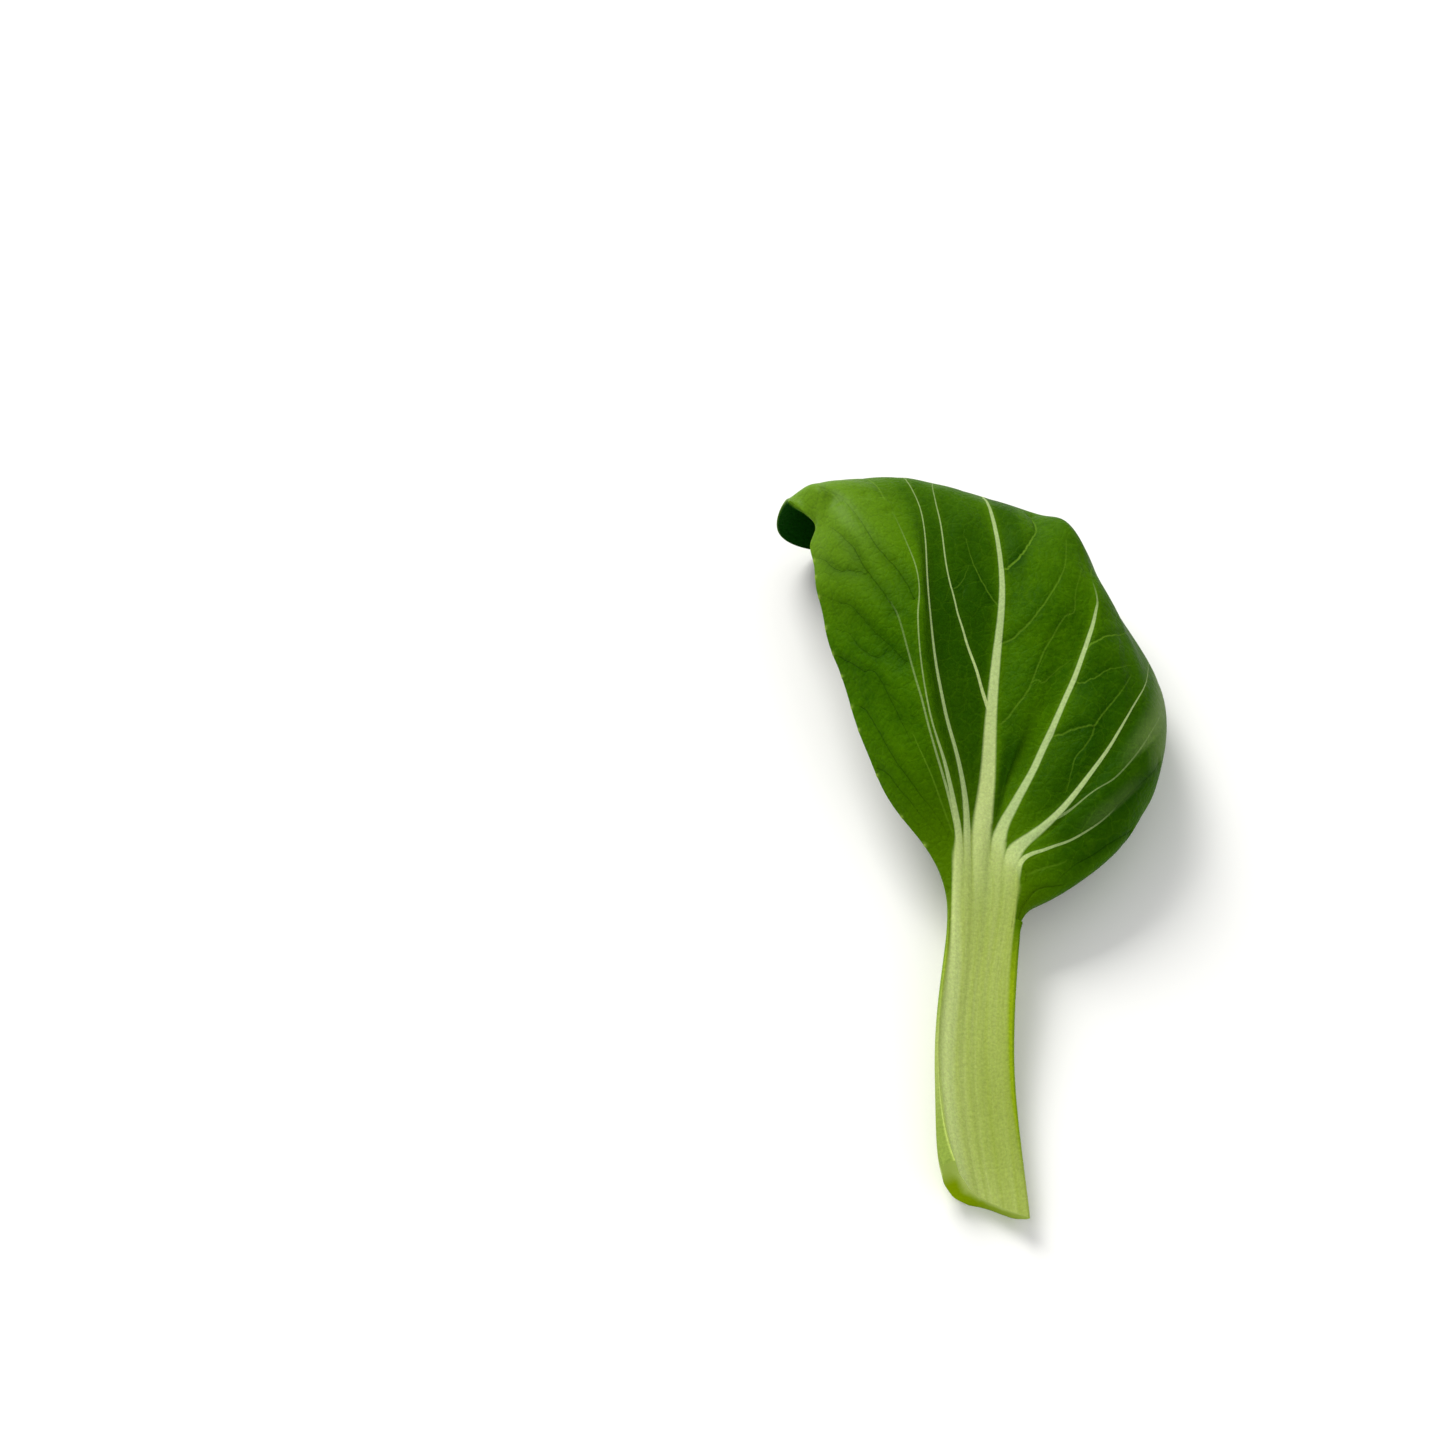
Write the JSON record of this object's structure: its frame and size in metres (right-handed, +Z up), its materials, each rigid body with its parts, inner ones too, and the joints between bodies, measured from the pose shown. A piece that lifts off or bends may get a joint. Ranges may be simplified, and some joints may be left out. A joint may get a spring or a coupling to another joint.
{
  "type": "bok choy leaf",
  "caption": "Single cut leaf of green-stalked bok choy: a pale fluted stalk opens into a dark green cupped blade with fanned ribs and rolled-down margins, lying inner face up.",
  "frame": {"origin": "middle of the leaf's bounding box, on the surface that the leaf lies on", "axes": "+Y from the cut end of the stalk towards the blade, +Z up, with the inner face of the leaf up"},
  "size_m": [0.0814, 0.1727, 0.0333],
  "materials": {
    "leaf": "semi-gloss waxy leaf: dark green blade, pale green ribs and stalk"
  },
  "bodies": {
    "root": {"leaf": "leaf"}
  },
  "joints": []
}
